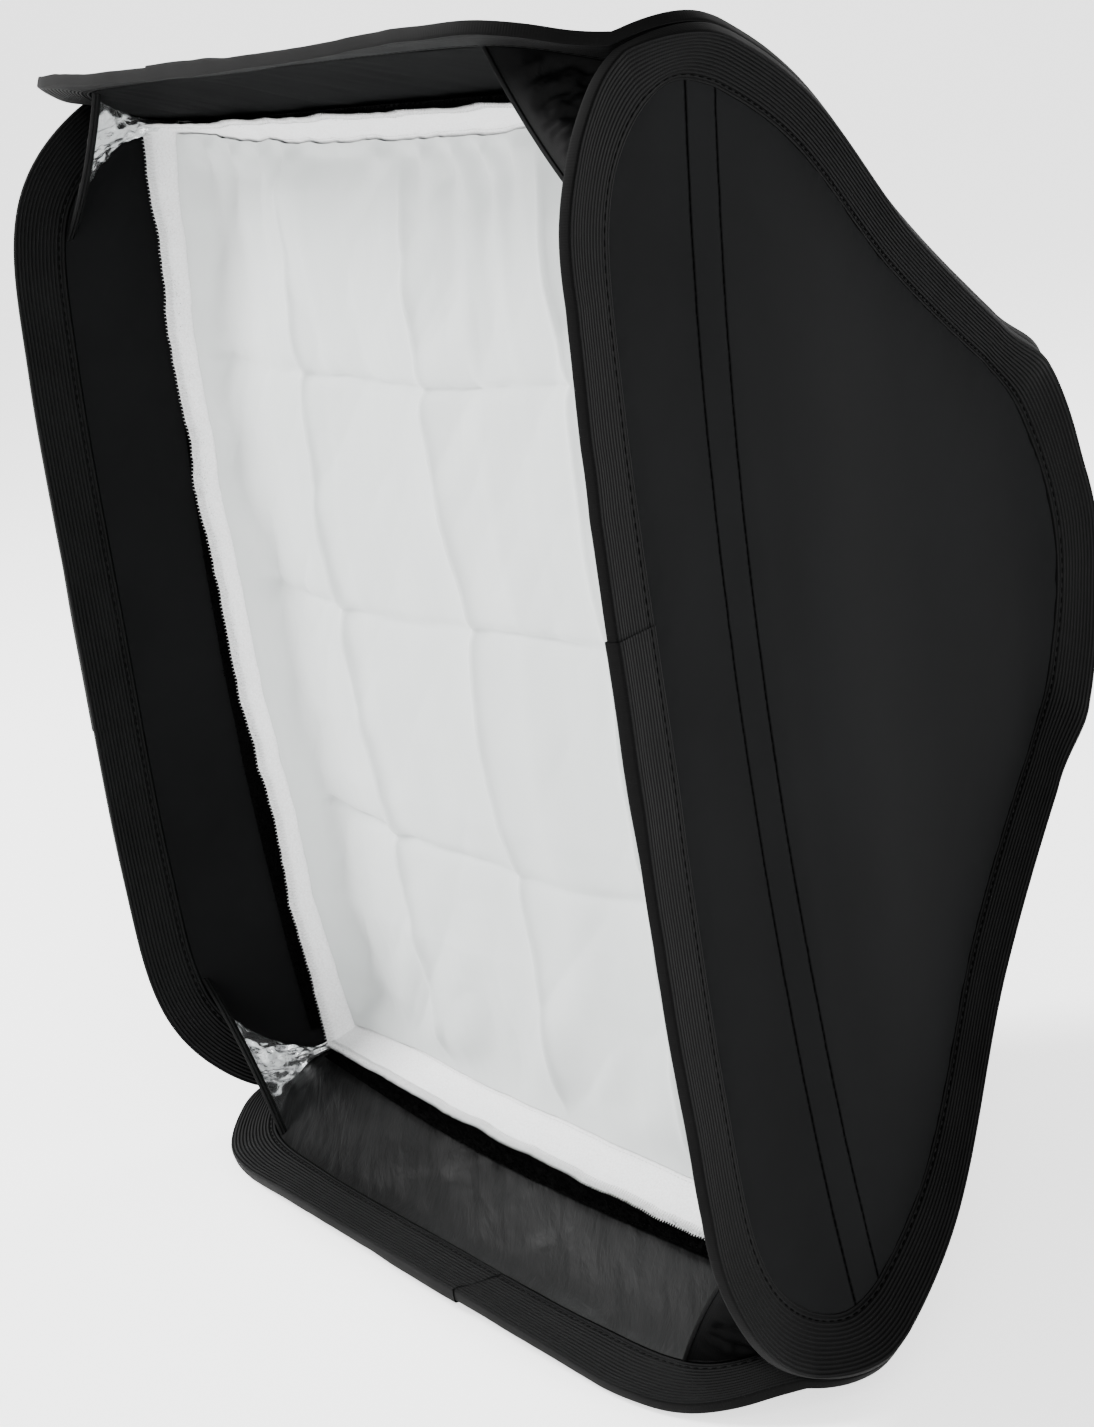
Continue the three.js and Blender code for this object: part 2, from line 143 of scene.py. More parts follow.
def sample(points, along, wanted):
    """The points at the wanted places, where along gives each point's own place."""
    return np.stack([np.interp(wanted, along, points[:, i]) for i in range(3)], -1)


def sag_at(y):
    return PANEL_SAG * smoothstep(y, -FRONT_DEPTH, SAG_FRONT) * (1 - smoothstep(y, SAG_REAR, -SEAM_REAR_DEPTH))


def catmull_rom(points, per_segment):
    """A smooth line through all points but the first and the last, which only steer its ends."""
    p = np.array(points, float)
    t = np.linspace(0, 1, per_segment, endpoint=False)[:, None]
    runs = []
    for i in range(1, len(p) - 2):
        a, b, c, d = p[i - 1 : i + 3]
        v0, v1 = (c - a) / 2, (d - b) / 2
        runs.append((2 * b - 2 * c + v0 + v1) * t**3 + (-3 * b + 3 * c - 2 * v0 - v1) * t**2 + v0 * t + b)
    runs.append(p[-2][None])
    return np.concatenate(runs)


def half_outline():
    """Half of a panel's stitch line, from the middle of its front edge to the middle of its rear edge."""
    seam = [(float(seam_out(y)) - SEAM_SHIFT, y) for y, _ in SEAM_POINTS if -SEAM_FRONT_DEPTH <= y <= -SEAM_REAR_DEPTH]
    control = [
        (-MID_FRONT, -FRONT_DEPTH + 1), (0, -FRONT_DEPTH), (MID_FRONT, -FRONT_DEPTH + 1), SHOULDER, LOBE,
        *seam,
        NOSE_SHOULDER, (0, -NOSE_DEPTH), (-NOSE_SHOULDER[0], NOSE_SHOULDER[1]),
    ]
    fine = catmull_rom(control, 200)
    along = arc_length(fine)
    wanted = np.linspace(0, along[-1], STEPS + 1)
    u, y = (np.interp(wanted, along, fine[:, i]) for i in (0, 1))
    in_seam = (y > -SEAM_FRONT_DEPTH) & (y < -SEAM_REAR_DEPTH)
    u[in_seam] = seam_out(y[in_seam]) - SEAM_SHIFT
    u[[0, -1]] = 0
    return u, y, wanted, in_seam


OUT_U, OUT_Y, OUT_S, IN_SEAM = half_outline()
WIDTH_Y = np.maximum.accumulate(OUT_Y + np.arange(STEPS + 1) * 1e-6)


def half_width(y):
    return np.interp(y, WIDTH_Y, OUT_U)


def surface(u, y):
    """Panel surface in panel axes: x along the front edge, y depth, z out from the axis."""
    across = np.clip(u / np.maximum(half_width(y), 1), -1, 1)
    return np.stack([u, y, seam_out(y) - sag_at(y) * (1 - across**2)], -1)


def surface_normal(u, y):
    step = 3.0
    du = surface(u + step, y) - surface(u - step, y)
    dy = surface(u, y + step) - surface(u, y - step)
    du[..., 1] = 0
    dy[..., 0] = 0
    n = unit(np.cross(du, dy))
    return n * np.where(n[..., 2:] < 0, -1, 1)


def fin_frames():
    """For each sample of half an outline: stitch point, direction of the binding's width, and its face normal."""
    p = np.stack([OUT_U, OUT_Y, seam_out(OUT_Y)], -1)
    flip = np.array([-1, 1, 1])
    around = np.concatenate([p[1:2] * flip, p, p[-2:-1] * flip])
    tangent = unit(around[2:] - around[:-2])
    normal = surface_normal(OUT_U, OUT_Y)
    in_plane = unit(np.cross(tangent, normal))
    middle = np.stack([0 * OUT_U, 0 * OUT_U - (FRONT_DEPTH + NOSE_DEPTH) / 2, p[:, 2]], -1)
    in_plane *= np.where(np.sum(in_plane * (p - middle), -1, keepdims=True) < 0, -1, 1)
    start, end = OUT_S[IN_SEAM][0], OUT_S[IN_SEAM][-1]
    nose = (smoothstep(OUT_S, end, end + FIN_TWIST_REAR) * NOSE_CURL)[:, None]
    in_plane = unit(in_plane * (1 - nose) + np.array([0, 1, 0]) * nose)
    fin = np.where(
        OUT_S < start,
        1 - smoothstep(start - OUT_S, 0, FIN_TWIST_FRONT),
        1 - smoothstep(OUT_S - end, 0, FIN_TWIST_REAR),
    )[:, None]
    diagonal = np.array([1, 0, 1]) / math.sqrt(2)
    direction = unit(in_plane * (1 - fin) + diagonal * fin)
    for _ in range(8):
        tip = p + direction * BINDING_WIDTH
        excess = np.maximum(tip[:, 0] - tip[:, 2] + SEAM_SHIFT, 0) / BINDING_WIDTH / 2
        direction[:, 0] -= excess
        direction[:, 2] += excess
        direction = unit(direction)
    face = unit(np.cross(tangent, direction))
    face *= np.where(np.sum(face * normal, -1, keepdims=True) < 0, -1, 1)
    return p, direction, face


FIN_POINT, FIN_DIR, FIN_FACE = fin_frames()


def turned(points, side):
    """Panel axes to the part's axes."""
    a = SIDES[side]
    x, y, z = np.moveaxis(np.asarray(points, float), -1, 0)
    return np.stack([x * math.cos(a) + z * math.sin(a), y, -x * math.sin(a) + z * math.cos(a)], -1)


# ---- noise


LATTICE = 64


def value_noise(x, y, seed):
    """Smooth noise from -1 to 1, the same for the same seed."""
    lattice = np.random.RandomState(seed).rand(LATTICE, LATTICE)
    xi, yi = np.floor(x).astype(int), np.floor(y).astype(int)
    fx, fy = x - xi, y - yi
    fx, fy = fx * fx * (3 - 2 * fx), fy * fy * (3 - 2 * fy)
    at = lambda a, b: lattice[(xi + a) % LATTICE, (yi + b) % LATTICE]
    low = at(0, 0) * (1 - fx) + at(1, 0) * fx
    high = at(0, 1) * (1 - fx) + at(1, 1) * fx
    return (low * (1 - fy) + high * fy) * 2 - 1


def fractal(x, y, seed, octaves):
    total, gain = 0, 1.0
    for k in range(octaves):
        total = total + gain * value_noise(x * 2**k + 17.3 * k, y * 2**k + 5.1 * k, seed + k)
        gain /= 2
    return total


def ridged(x, y, seed, octaves):
    """Noise with sharp crests."""
    total, gain = 0, 1.0
    for k in range(octaves):
        total = total + gain * (1 - np.abs(value_noise(x * 2**k + 3.7 * k, y * 2**k + 9.2 * k, seed + k)) * 2)
        gain /= 2
    return total


# ---- meshes


def new_mesh(name, points, faces, material, uv=None, smooth=True):
    mesh = bpy.data.meshes.new(name)
    mesh.from_pydata((np.asarray(points) * MM).tolist(), [], np.asarray(faces).tolist())
    if uv is not None:
        layer = mesh.uv_layers.new(name="UVMap")
        corner = np.empty(len(mesh.loops), np.int32)
        mesh.loops.foreach_get("vertex_index", corner)
        layer.data.foreach_set("uv", np.asarray(uv, np.float32)[corner].ravel())
    mesh.polygons.foreach_set("use_smooth", [smooth] * len(mesh.polygons))
    mesh.materials.append(material)
    mesh.update()
    obj = bpy.data.objects.new(name, mesh)
    bpy.context.scene.collection.objects.link(obj)
    return obj


def grid_faces(rows, columns, wrap=False):
    i, j = np.meshgrid(np.arange(rows - 1), np.arange(columns if wrap else columns - 1), indexing="ij")
    k = (j + 1) % columns
    return np.stack([i * columns + j, i * columns + k, (i + 1) * columns + k, (i + 1) * columns + j], -1).reshape(-1, 4)


def facing(points, faces, towards):
    """Faces wound so that most of them look along towards (one vector per point, or one for all)."""
    p = np.asarray(points)
    n = np.cross(p[faces[:, 1]] - p[faces[:, 0]], p[faces[:, 2]] - p[faces[:, 0]])
    w = np.asarray(towards, float)
    w = w[faces[:, 0]] if w.ndim == 2 else w
    return faces if np.sum(n * w) >= 0 else faces[:, ::-1]


def grid_piece(name, grid, towards, material, uv=None):
    rows, columns = grid.shape[:2]
    points = grid.reshape(-1, 3)
    faces = facing(points, grid_faces(rows, columns), np.asarray(towards).reshape(-1, 3))
    return new_mesh(name, points, faces, material, None if uv is None else uv.reshape(-1, 2))


def sweep(name, sections, material, uv=None):
    """Closed polygon sections joined into a tube that is open at its ends."""
    rows, columns = sections.shape[:2]
    points = sections.reshape(-1, 3)
    faces = grid_faces(rows, columns, wrap=True)
    centre = np.repeat(sections.mean(1), columns, 0)
    faces = facing(points, faces, points - centre)
    return new_mesh(name, points, faces, material, None if uv is None else uv.reshape(-1, 2))


# one stitch, as shares of its length, width and height
STITCH_SHAPE = [
    (-0.5, 0, -0.6), (-0.36, -0.8, 0.3), (-0.36, 0.8, 0.3), (-0.3, 0, 0.9),
    (0.3, 0, 0.9), (0.36, 0.8, 0.3), (0.36, -0.8, 0.3), (0.5, 0, -0.6),
]
STITCH_FACES = np.array([
    (0, 1, 3), (0, 3, 2), (1, 6, 4), (1, 4, 3), (3, 4, 5), (3, 5, 2), (4, 6, 7), (5, 4, 7),
])


def stitches(name, points, normals, material, pitch=5.2, length=3.5, width=0.42, height=0.3):
    """A row of lockstitches along a polyline, lying on the surface whose normals are given."""
    along = arc_length(points)
    centres = np.arange(pitch / 2, along[-1] - pitch / 2, pitch)
    c = sample(points, along, centres)
    t = unit(sample(points, along, centres + 1) - sample(points, along, centres - 1))
    n = unit(sample(normals, along, centres))
    b = unit(np.cross(t, n))
    verts = np.stack([c + t * (a * length) + b * (w * width) + n * (h * height) for a, w, h in STITCH_SHAPE], 1)
    faces = (STITCH_FACES[None] + np.arange(len(c))[:, None, None] * len(STITCH_SHAPE)).reshape(-1, 3)
    return new_mesh(name, verts.reshape(-1, 3), faces, material)


# ---- materials


class Nodes:
    """A new node material, with short calls to add and link nodes."""

    def __init__(self, name):
        self.material = bpy.data.materials.new(name)
        self.material.use_nodes = True
        self.tree = self.material.node_tree
        self.shader = self.tree.nodes["Principled BSDF"]
        self.object_coords = self.add("ShaderNodeTexCoord").outputs["Object"]
        self.uv = self.add("ShaderNodeUVMap", uv_map="UVMap").outputs["UV"]

    def add(self, kind, **values):
        node = self.tree.nodes.new(kind)
        for key, value in values.items():
            setattr(node, key, value)
        return node

    def link(self, a, b):
        self.tree.links.new(a, b)

    def set(self, **values):
        for key, value in values.items():
            self.shader.inputs[key.replace("_", " ")].default_value = value

    def noise(self, scale, detail=4.0, roughness=0.5, coords=None, distortion=0.0):
        node = self.add("ShaderNodeTexNoise")
        node.inputs["Scale"].default_value = scale
        node.inputs["Detail"].default_value = detail
        node.inputs["Roughness"].default_value = roughness
        node.inputs["Distortion"].default_value = distortion
        self.link(coords or self.object_coords, node.inputs["Vector"])
        return node.outputs["Fac"]

    def math(self, operation, a, b=None, clamp=False):
        node = self.add("ShaderNodeMath", operation=operation, use_clamp=clamp)
        for socket, value in zip(node.inputs, (a, b)):
            if value is None:
                continue
            if isinstance(value, (int, float)):
                socket.default_value = value
            else:
                self.link(value, socket)
        return node.outputs[0]

    def axis(self, coords, index):
        node = self.add("ShaderNodeSeparateXYZ")
        self.link(coords, node.inputs[0])
        return node.outputs[index]

    def waves(self, value, pitch):
        """0 to 1, once each pitch."""
        turned_by = self.math("MULTIPLY", value, 2 * math.pi / pitch)
        return self.math("MULTIPLY_ADD", self.math("SINE", turned_by), 0.5)

    def ramp(self, value, low, high, colours):
        node = self.add("ShaderNodeValToRGB")
        node.color_ramp.elements[0].position = low
        node.color_ramp.elements[1].position = high
        for element, colour in zip(node.color_ramp.elements, colours):
            element.color = (*colour, 1)
        self.link(value, node.inputs[0])
        return node.outputs[0]

    def bump(self, height, distance, strength=1.0, normal=None):
        node = self.add("ShaderNodeBump")
        node.inputs["Distance"].default_value = distance
        node.inputs["Strength"].default_value = strength
        self.link(height, node.inputs["Height"])
        if normal is not None:
            self.link(normal, node.inputs["Normal"])
        return node.outputs["Normal"]

    def base(self, colour):
        self.link(colour, self.shader.inputs["Base Color"])

    def rough(self, value, low, high):
        node = self.add("ShaderNodeMapRange")
        node.inputs["To Min"].default_value = low
        node.inputs["To Max"].default_value = high
        self.link(value, node.inputs["Value"])
        self.link(node.outputs["Result"], self.shader.inputs["Roughness"])

    def normal(self, value):
        self.link(value, self.shader.inputs["Normal"])


def grey(value, cool=0.0):
    return (value * (1 - cool), value, value * (1 + cool))


def black_cloud(m, dark, light):
    """Uneven black dye: the noise it follows, and its colour."""
    cloud = m.noise(9.0, 5.0, 0.6)
    return cloud, m.ramp(cloud, 0.3, 0.75, (grey(dark, 0.02), grey(light, 0.03)))


def plain_weave(m, pitch):
    """Warp and weft, then slubs, as a normal."""
    weave = m.math("MULTIPLY", m.waves(m.axis(m.uv, 0), pitch), m.waves(m.axis(m.uv, 1), pitch))
    fine = m.bump(weave, 0.00006, 0.6)
    return m.bump(m.noise(260.0, 3.0, 0.6), 0.0001, 0.35, fine)


def woven_black(name, dark, light, rough, weave, spec):
    m = Nodes(name)
    cloud, colour = black_cloud(m, dark, light)
    m.base(colour)
    m.normal(plain_weave(m, weave))
    m.rough(cloud, rough - 0.05, rough + 0.06)
    m.set(Specular_IOR_Level=spec)
    return m.material


BIAS = (0.54, 0.84)  # direction of the creases in the bottom lip: across and along the panel's edge


def satin(name, dark, light, rough, spec):
    """Glossy black lining satin, creased on the bias."""
    m = Nodes(name)
    cloud = m.noise(12.0, 4.0, 0.6)
    m.base(m.ramp(cloud, 0.3, 0.75, (grey(dark), grey(light, 0.02))))
    u, y = m.axis(m.uv, 0), m.axis(m.uv, 1)
    bias = m.add("ShaderNodeCombineXYZ")
    fall = m.math("SUBTRACT", m.math("MULTIPLY", u, BIAS[0]), m.math("MULTIPLY", y, BIAS[1]))
    run = m.math("ADD", m.math("MULTIPLY", u, BIAS[1]), m.math("MULTIPLY", y, BIAS[0]))
    m.link(m.math("MULTIPLY", fall, 0.045), bias.inputs[0])
    m.link(m.math("MULTIPLY", run, 0.011), bias.inputs[1])
    folds = m.noise(1.0, 5.0, 0.55, bias.outputs[0], 0.8)
    fine = m.noise(3.1, 4.0, 0.6, bias.outputs[0], 0.4)
    soft = m.bump(folds, 0.004, 0.45)
    m.normal(m.bump(fine, 0.0012, 0.45, soft))
    m.rough(cloud, rough - 0.05, rough + 0.08)
    m.set(Specular_IOR_Level=spec)
    return m.material


SKIN_DARK, SKIN_LIGHT = 0.0058, 0.0078
TAPE_STITCH_PITCH = 4.6
NEEDLE_HALF, GROOVE_SHADE_REACH = 0.45, 1.2  # half width of the needle line, and of the groove beside it, dented and darkened with painted shade


def skin_material():
    """Outer nylon, with the needle line and dark thread of the loop tape's two rows drawn in, and painted shade
    darkening the groove beside each row.
    """
    m = Nodes("outer_nylon")
    u, y = m.axis(m.uv, 0), m.axis(m.uv, 1)
    bow = m.math("MULTIPLY", m.math("MULTIPLY", u, u), TAPE_BOW / TAPE_BOW_REACH**2)
    off_tape = m.math("SUBTRACT", m.math("ADD", y, LOOP_DEPTH + TAPE_FRONT_SHIFT), bow)
    off_row = m.math("ABSOLUTE", m.math("SUBTRACT", m.math("ABSOLUTE", off_tape), TAPE_ROW * math.cos(TAPE_SLOPE)))
    wander = m.math("MULTIPLY", m.math("SUBTRACT", m.noise(60.0, 2.0), 0.5), 0.25)
    off_row = m.math("ABSOLUTE", m.math("ADD", off_row, wander))
    dash = m.math("GREATER_THAN", m.waves(u, TAPE_STITCH_PITCH), 0.16)
    thread = m.math("MULTIPLY", m.math("LESS_THAN", off_row, NEEDLE_HALF), dash)
    # painted shade: beside each row the cloth is darkened towards black, standing in for the groove's shadow
    near = m.math("SUBTRACT", 1.0, m.math("DIVIDE", off_row, GROOVE_SHADE_REACH), clamp=True)
    dark = m.math("MAXIMUM", thread, m.math("MULTIPLY", near, 0.75))
    cloud, cloth = black_cloud(m, SKIN_DARK, SKIN_LIGHT)
    mix = m.add("ShaderNodeMix", data_type="RGBA")
    m.link(dark, mix.inputs["Factor"])
    m.link(cloth, mix.inputs["A"])
    # near black, for the thread and for the painted shade beside it
    mix.inputs["B"].default_value = (*grey(0.0003), 1)
    m.base(mix.outputs["Result"])
    m.normal(m.bump(m.math("SUBTRACT", 1.0, dark), 0.0012, 0.8, plain_weave(m, 0.5)))
    m.rough(m.math("ADD", cloud, dark), 0.55, 0.72)
    m.set(Specular_IOR_Level=0.005)
    return m.material


RIB_PITCH = 2.05
SHADED_RIM_START = 27.6  # from here out the tape's folded rim has no ribs and is darkened to near black with painted shade


def ribbed_binding():
    m = Nodes("binding_ribbed")
    rib = m.waves(m.axis(m.uv, 1), RIB_PITCH)
    cross = m.waves(m.axis(m.uv, 0), 0.9)
    worn = m.noise(30.0, 5.0, 0.6)
    # rib crests are painted lighter than the grooves between them, a painted highlight; the worn noise is wear
    rib_highlight_and_wear = m.math("ADD", m.math("MULTIPLY", rib, 0.5), m.math("MULTIPLY", worn, 0.6))
    # painted shade: past the rim's start the colour drops to near black
    face = m.math("LESS_THAN", m.axis(m.uv, 1), SHADED_RIM_START)
    m.base(m.ramp(m.math("MULTIPLY", rib_highlight_and_wear, face), 0.2, 0.95, (grey(0.0005), grey(0.0052, 0.02))))
    ribs = m.bump(rib, 0.0007, 0.9)
    m.normal(m.bump(cross, 0.0001, 0.4, ribs))
    m.rough(worn, 0.62, 0.8)
    m.set(Specular_IOR_Level=0.055)
    return m.material


def diffuser_fabric():
    m = Nodes("diffuser_fabric")
    cloud = m.noise(5.0, 4.0, 0.5)
    m.base(m.ramp(cloud, 0.3, 0.8, ((0.48, 0.505, 0.50), (0.54, 0.56, 0.555))))
    warp = m.waves(m.axis(m.uv, 0), 0.5)
    weft = m.waves(m.axis(m.uv, 1), 0.5)
    fine = m.bump(m.math("MULTIPLY", warp, weft), 0.00005, 0.4)
    m.normal(m.bump(m.noise(90.0, 3.0, 0.5), 0.00025, 0.25, fine))
    m.rough(cloud, 0.62, 0.74)
    m.set(Subsurface_Weight=0.25, Subsurface_Scale=0.01, Sheen_Weight=0.15, Sheen_Roughness=0.4)
    m.shader.inputs["Subsurface Radius"].default_value = (1.0, 1.0, 1.0)
    return m.material


def hook_material():
    m = Nodes("hook_tape_white")
    nap = m.noise(900.0, 2.0, 0.7)
    m.base(m.ramp(nap, 0.3, 0.7, (grey(0.66), grey(0.84, 0.01))))
    m.normal(m.bump(nap, 0.0004, 0.7))
    m.rough(nap, 0.8, 0.95)
    m.set(Sheen_Weight=0.3, Sheen_Roughness=0.6)
    return m.material


def loop_material():
    m = Nodes("loop_tape_black")
    nap = m.noise(700.0, 3.0, 0.8)
    m.base(m.ramp(nap, 0.35, 0.75, (grey(0.0005), grey(0.0018))))
    m.normal(m.bump(nap, 0.0008, 0.9))
    m.rough(nap, 0.9, 1.0)
    m.set(Specular_IOR_Level=0.01)
    return m.material


def foil_material(name, low, high):
    """Crinkled silver foil; low and high are its roughness."""
    m = Nodes(name)
    crinkle = m.noise(38.0, 6.0, 0.6, distortion=0.6)
    m.base(m.ramp(crinkle, 0.3, 0.7, (grey(0.6, 0.01), grey(0.92, 0.01))))
    m.normal(m.bump(crinkle, 0.004, 0.75))
    m.rough(crinkle, low, high)
    m.set(Metallic=0.95)
    return m.material


def thread_material(name, value, spec):
    m = Nodes(name)
    twist = m.noise(1500.0, 2.0, 0.6)
    m.base(m.ramp(twist, 0.3, 0.7, (grey(value * 0.6), grey(value))))
    m.normal(m.bump(twist, 0.0002, 0.5))
    m.rough(twist, 0.6, 0.75)
    m.set(Specular_IOR_Level=spec)
    return m.material


def steel_material():
    m = Nodes("spring_steel")
    streak = m.noise(120.0, 5.0, 0.6)
    m.base(m.ramp(streak, 0.3, 0.7, ((0.09, 0.10, 0.12), (0.2, 0.21, 0.23))))
    m.normal(m.bump(streak, 0.0001, 0.3))
    m.rough(streak, 0.28, 0.42)
    m.set(Metallic=1.0)
    return m.material


MAT = {
    "binding": ribbed_binding(),
    "skin": skin_material(),
    # one lining fabric in two copies: the top, left and right lips get a lighter colour and the bottom lip a darker,
    # glossier one; the difference in colour is painted light and shade, set for how light falls on each side
    "lip": woven_black("inner_satin", 0.0034, 0.005, rough=0.6, weave=0.4, spec=0.004),
    "lip_bottom_shaded_copy": satin("inner_satin_bottom_shaded_copy", 0.0012, 0.0026, rough=0.4, spec=0.1),
    "gusset_out": woven_black("gusset_outer", 0.0012, 0.0022, rough=0.55, weave=0.45, spec=0.04),
    "lining": foil_material("silver_lining", 0.22, 0.4),
    "foil": foil_material("gusset_foil", 0.1, 0.26),
    "loop": loop_material(),
    "hook": hook_material(),
    "cloth": diffuser_fabric(),
    "thread": thread_material("thread_black", 0.0005, spec=0.01),
    "white_thread": thread_material("thread_white", 0.8, spec=0.15),
    "steel": steel_material(),
}


def finish_piece(obj, body, replaces=()):
    if body is not None:
        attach(obj, body)
    if replaces:
        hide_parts(*replaces)
    return obj


def layer(name, grid, normal, side, look, body, replaces=(), uv=None):
    """A piece from a grid in panel axes, seen from the side that normal points to."""
    obj = grid_piece(name, turned(grid, side), turned(normal, side), MAT[look], uv)
    return finish_piece(obj, body, replaces)


def follow_corner(obj, side, sign, replaces=()):
    """Rides obj on its panel along an open seam; along the other corner seams it only bakes obj's transform into its
    mesh.
    """
    if (side, sign) in OPEN_SEAM:
        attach(obj, f"panel_{side}")
    else:
        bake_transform(obj)
    return finish_piece(obj, None, replaces)


# ---- bindings

OVERLAP = 24  # samples past the middle of the front edge, where one end of the tape laps over the other
LAP_FADE = (6, 40)  # distances past the middle where the lap is full and gone
LAP_LIFT = 0.75
RIPPLE, RIPPLE_LENGTH = 0.35, 38.0
STITCH_LINE, STITCH_LIFT = 3.2, 1.45  # the tape's stitch rows: in from its inner edge, and off its middle plane

# half of a closed section: distance from the stitch line and half thickness
BINDING_PROFILE = [
    (-0.6, 0.5), (0.0, 1.35), (1.6, 1.6), (2.6, 1.5), (3.2, 1.42), (3.8, 1.5), (5.0, 1.72), (9.0, 1.8),
    (14.0, 1.9), (18.0, 2.15), (21.0, 2.5), (23.0, 2.85), (25.0, 3.05), (26.6, 3.1), (27.5, 3.0),
    (28.0, 2.65), (28.15, 1.8), (28.2, 0.0),
]
GUSSET_TAPE_PROFILE = [(-3.4, 0.6), (-2.8, 1.0), (-0.6, 1.25), (0.5, 1.1), (1.2, 0.6), (1.4, 0.0)]
ALLOWANCE_WIDTHS = np.array([-1.2, 1.0, 4.0, 8.0])
HOOP_INNER, HOOP_OUTER, HOOP_HALF = 25.4, 26.4, 1.35  # the flat steel strip inside the folded tape

FLARE = {"top": 0.0, "right": 15.0, "bottom": -7.0, "left": 0.0}  # degrees the front binding leans outward
FLARE_REACH = (120.0, 300.0)  # along the edge from its middle: full lean, and none


def closed_profile(half):
    return half + [(w, -h) for w, h in reversed(half[:-1])]


def half_name(side, sign):
    return f"{side}_{'plus' if sign > 0 else 'minus'}"


def half_ring(side, sign, first):
    """Stitch points, width directions, face normals and edge lengths of one half ring.

    Negative samples run past the middle of the front edge.
    """
    index = np.arange(first, STEPS + 1)
    flip = np.where((index < 0)[:, None], np.array([-1, 1, 1]), np.array([1, 1, 1]))
    k = np.abs(index)
    mirror = np.array([sign, 1, 1])
    along = np.sign(index) * OUT_S[k]
    point, direction, face = (a[k] * flip * mirror for a in (FIN_POINT, FIN_DIR, FIN_FACE))
    lean = np.radians(FLARE[side]) * (1 - smoothstep(np.abs(along), *FLARE_REACH))[:, None]
    out_sign = np.where(face[:, 2:] >= 0, 1.0, -1.0)
    leaned = direction * np.cos(lean) + out_sign * face * np.sin(lean)
    face = face * np.cos(lean) - out_sign * direction * np.sin(lean)
    return point, leaned, face, along


def make_bindings():
    full = closed_profile(BINDING_PROFILE)
    w = np.array([p[0] for p in full])
    h = np.array([p[1] for p in full])
    for number, side in enumerate(SIDES):
        for sign in (1, -1):
            first = -OVERLAP if sign > 0 else 4
            point, direction, face, along = half_ring(side, sign, first)
            over = LAP_LIFT * (1 - smoothstep(along, *LAP_FADE)) if sign > 0 else 0 * along
            ripple = RIPPLE * fractal(along / RIPPLE_LENGTH, 0 * along + 3.1 * sign, 40 + number, 3)
            wave = ripple[:, None] * smoothstep(w, 2, 20)[None]
            thick = h[None] * (1 + over[:, None] / 2.6) + wave
            width = w[None] + np.where(w > 20, 1, 0)[None] * over[:, None] * 0.6
            section = point[:, None] + direction[:, None] * width[..., None] + face[:, None] * thick[..., None]
            uv = np.stack(np.broadcast_arrays(along[:, None], w[None]), -1)
            name = half_name(side, sign)
            obj = sweep(f"binding_{name}", turned(section, side), MAT["binding"], uv)
            follow_corner(obj, side, sign, [f"binding_{side}"])
            for layer, row in ((1, "out"), (-1, "in")):
                lift = layer * (STITCH_LIFT + over[:, None] * 0.55) + ripple[:, None] * 0.05
                at = point + direction * STITCH_LINE + face * lift
                seam = stitches(f"stitch_{name}_{row}", turned(at, side), turned(face * layer, side), MAT["thread"])
                follow_corner(seam, side, sign)


def make_allowances():
    """The cut edge of each panel's fabric, inside its folded tape; it fills the joint when the box folds."""
    for side in SIDES:
        for sign in (1, -1):
            point, direction, face, along = half_ring(side, sign, 0)
            grid = point[:, None] + direction[:, None] * ALLOWANCE_WIDTHS[None, :, None]
            normal = np.repeat(face[:, None], len(ALLOWANCE_WIDTHS), 1)
            uv = np.stack(np.broadcast_arrays(along[:, None], ALLOWANCE_WIDTHS[None]), -1)
            name = f"seam_allowance_{half_name(side, sign)}"
            layer(name, grid, normal, side, "gusset_out", f"panel_{side}", uv=uv)


def make_hoops():
    corners = [(HOOP_INNER, HOOP_HALF), (HOOP_OUTER, HOOP_HALF), (HOOP_OUTER, -HOOP_HALF), (HOOP_INNER, -HOOP_HALF)]
    for side in SIDES:
        for sign in (1, -1):
            point, direction, face, _ = half_ring(side, sign, 0)
            section = np.stack([point + direction * w + face * h for w, h in corners], 1)
            obj = sweep(f"hoop_strip_{half_name(side, sign)}", turned(section, side), MAT["steel"])
            follow_corner(obj, side, sign, [f"hoop_{side}"])


# ---- panels


def panel_rows(start, end, count):
    """Depths from start to end, closer together where the outline turns."""
    inside = (OUT_Y > start) & (OUT_Y < end)
    along = np.concatenate([[np.interp(start, WIDTH_Y, OUT_S)], OUT_S[inside], [np.interp(end, WIDTH_Y, OUT_S)]])
    y = np.concatenate([[start], OUT_Y[inside], [end]])
    wanted = np.linspace(along[0], along[-1], count)
    return np.interp(wanted, along, y)


def panel_grid(rows, columns, inset):
    """(u, y) of a panel layer, pulled in from the stitch line by inset."""
    width = np.maximum(half_width(rows) - inset, 0.5)
    s = np.linspace(-1, 1, columns)
    return width[:, None] * s[None], np.repeat(rows[:, None], columns, 1)


def tape_line(u):
    """The loop tape bows a little towards the front in its middle."""
    return -LOOP_DEPTH - TAPE_FRONT_SHIFT + TAPE_BOW * (u / TAPE_BOW_REACH) ** 2


def edge_distance(u, y):
    """Rough distance in from the stitch line."""
    side = half_width(y) - np.abs(u)
    front = y - np.interp(np.abs(u), OUT_U[: STEPS // 3], OUT_Y[: STEPS // 3])
    return np.maximum(np.minimum(side, np.maximum(front, 0) * 1.2), 0)


